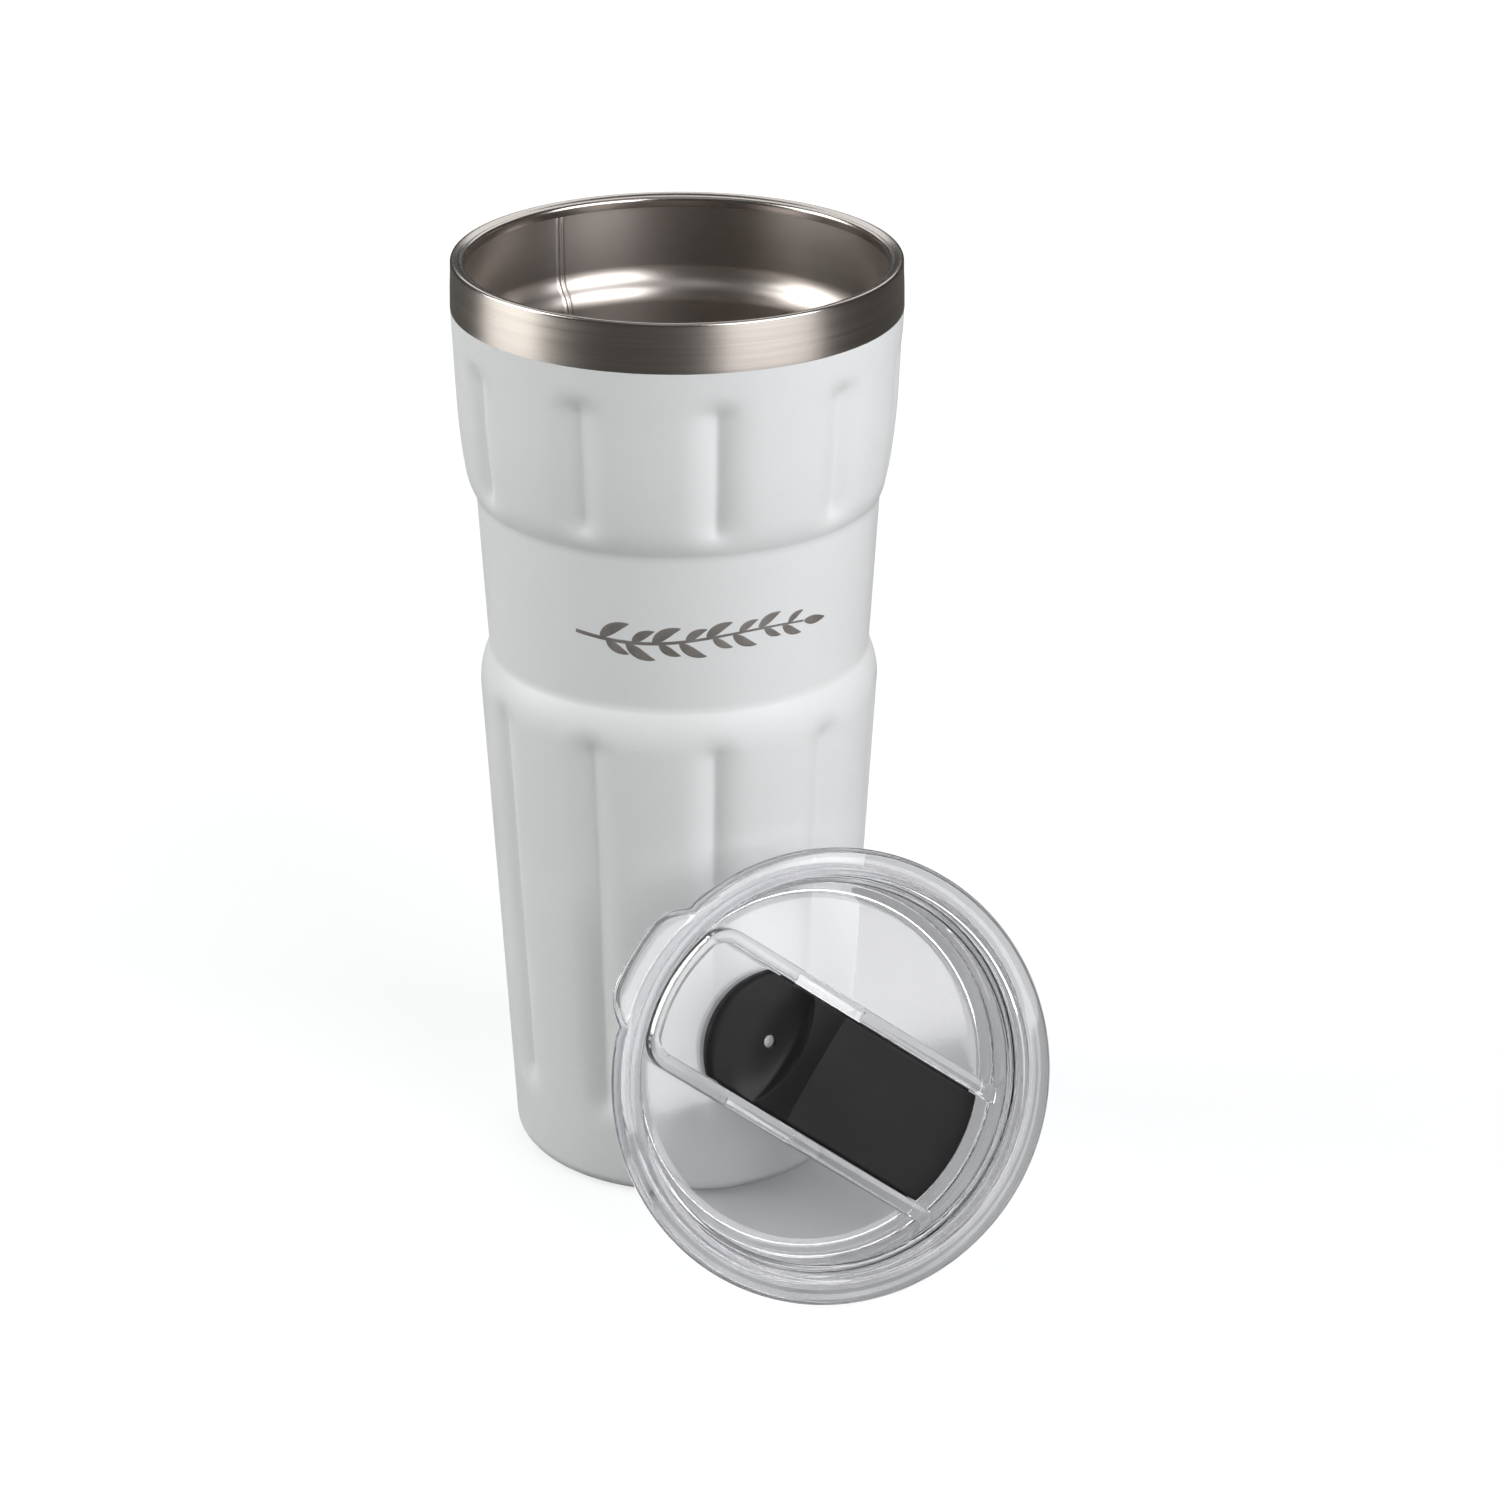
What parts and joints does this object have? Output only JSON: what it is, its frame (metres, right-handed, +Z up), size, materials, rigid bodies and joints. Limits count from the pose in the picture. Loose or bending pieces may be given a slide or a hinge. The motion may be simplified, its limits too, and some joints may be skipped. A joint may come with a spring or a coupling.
{
  "type": "insulated tumbler with lid",
  "caption": "Tall double-walled steel tumbler with a tapering panelled coated body, bare steel rim band and a clear press-in lid with a sliding drink cover.",
  "frame": {"origin": "centre of the tumbler's foot, on the table", "axes": "+Z up along the tumbler's axis, out of its mouth; -Y towards the lid that leans on the tumbler's front; +X to the right seen from the front"},
  "size_m": [0.1172, 0.126, 0.19],
  "materials": {
    "steel_outer": "brushed round the axis",
    "coat": "satin white powder coat",
    "steel_inner": "electropolished",
    "getter_metal": "sintered",
    "solder_glass": "dark solder glass",
    "clear_plastic": "clear, glossy",
    "silicone": "clear silicone, matte",
    "black_plastic": "satin black"
  },
  "bodies": {
    "tumbler": {"outer_shell": "steel_outer", "powder_coat": "coat", "liner_wall": "steel_inner", "liner_floor": "steel_inner", "base_plate": "steel_outer", "getter": "getter_metal", "getter_clip": "steel_outer", "solder_seal": "solder_glass", "base_cover": "steel_outer"},
    "lid": {"lid_shell": "clear_plastic", "lid_gasket": "silicone"},
    "cover": {"slider": "black_plastic", "slider_seal": "silicone"}
  },
  "joints": [
    {"name": "lid_lift", "type": "slide", "parent": "tumbler", "child": "lid", "axis": [0.2676, -0.8976, 0.3502], "range_m": [0, 0.06]},
    {"name": "cover_slide", "type": "slide", "parent": "lid", "child": "cover", "axis": [-0.8177, -0.0193, 0.5754], "range_m": [0, 0.009]}
  ]
}
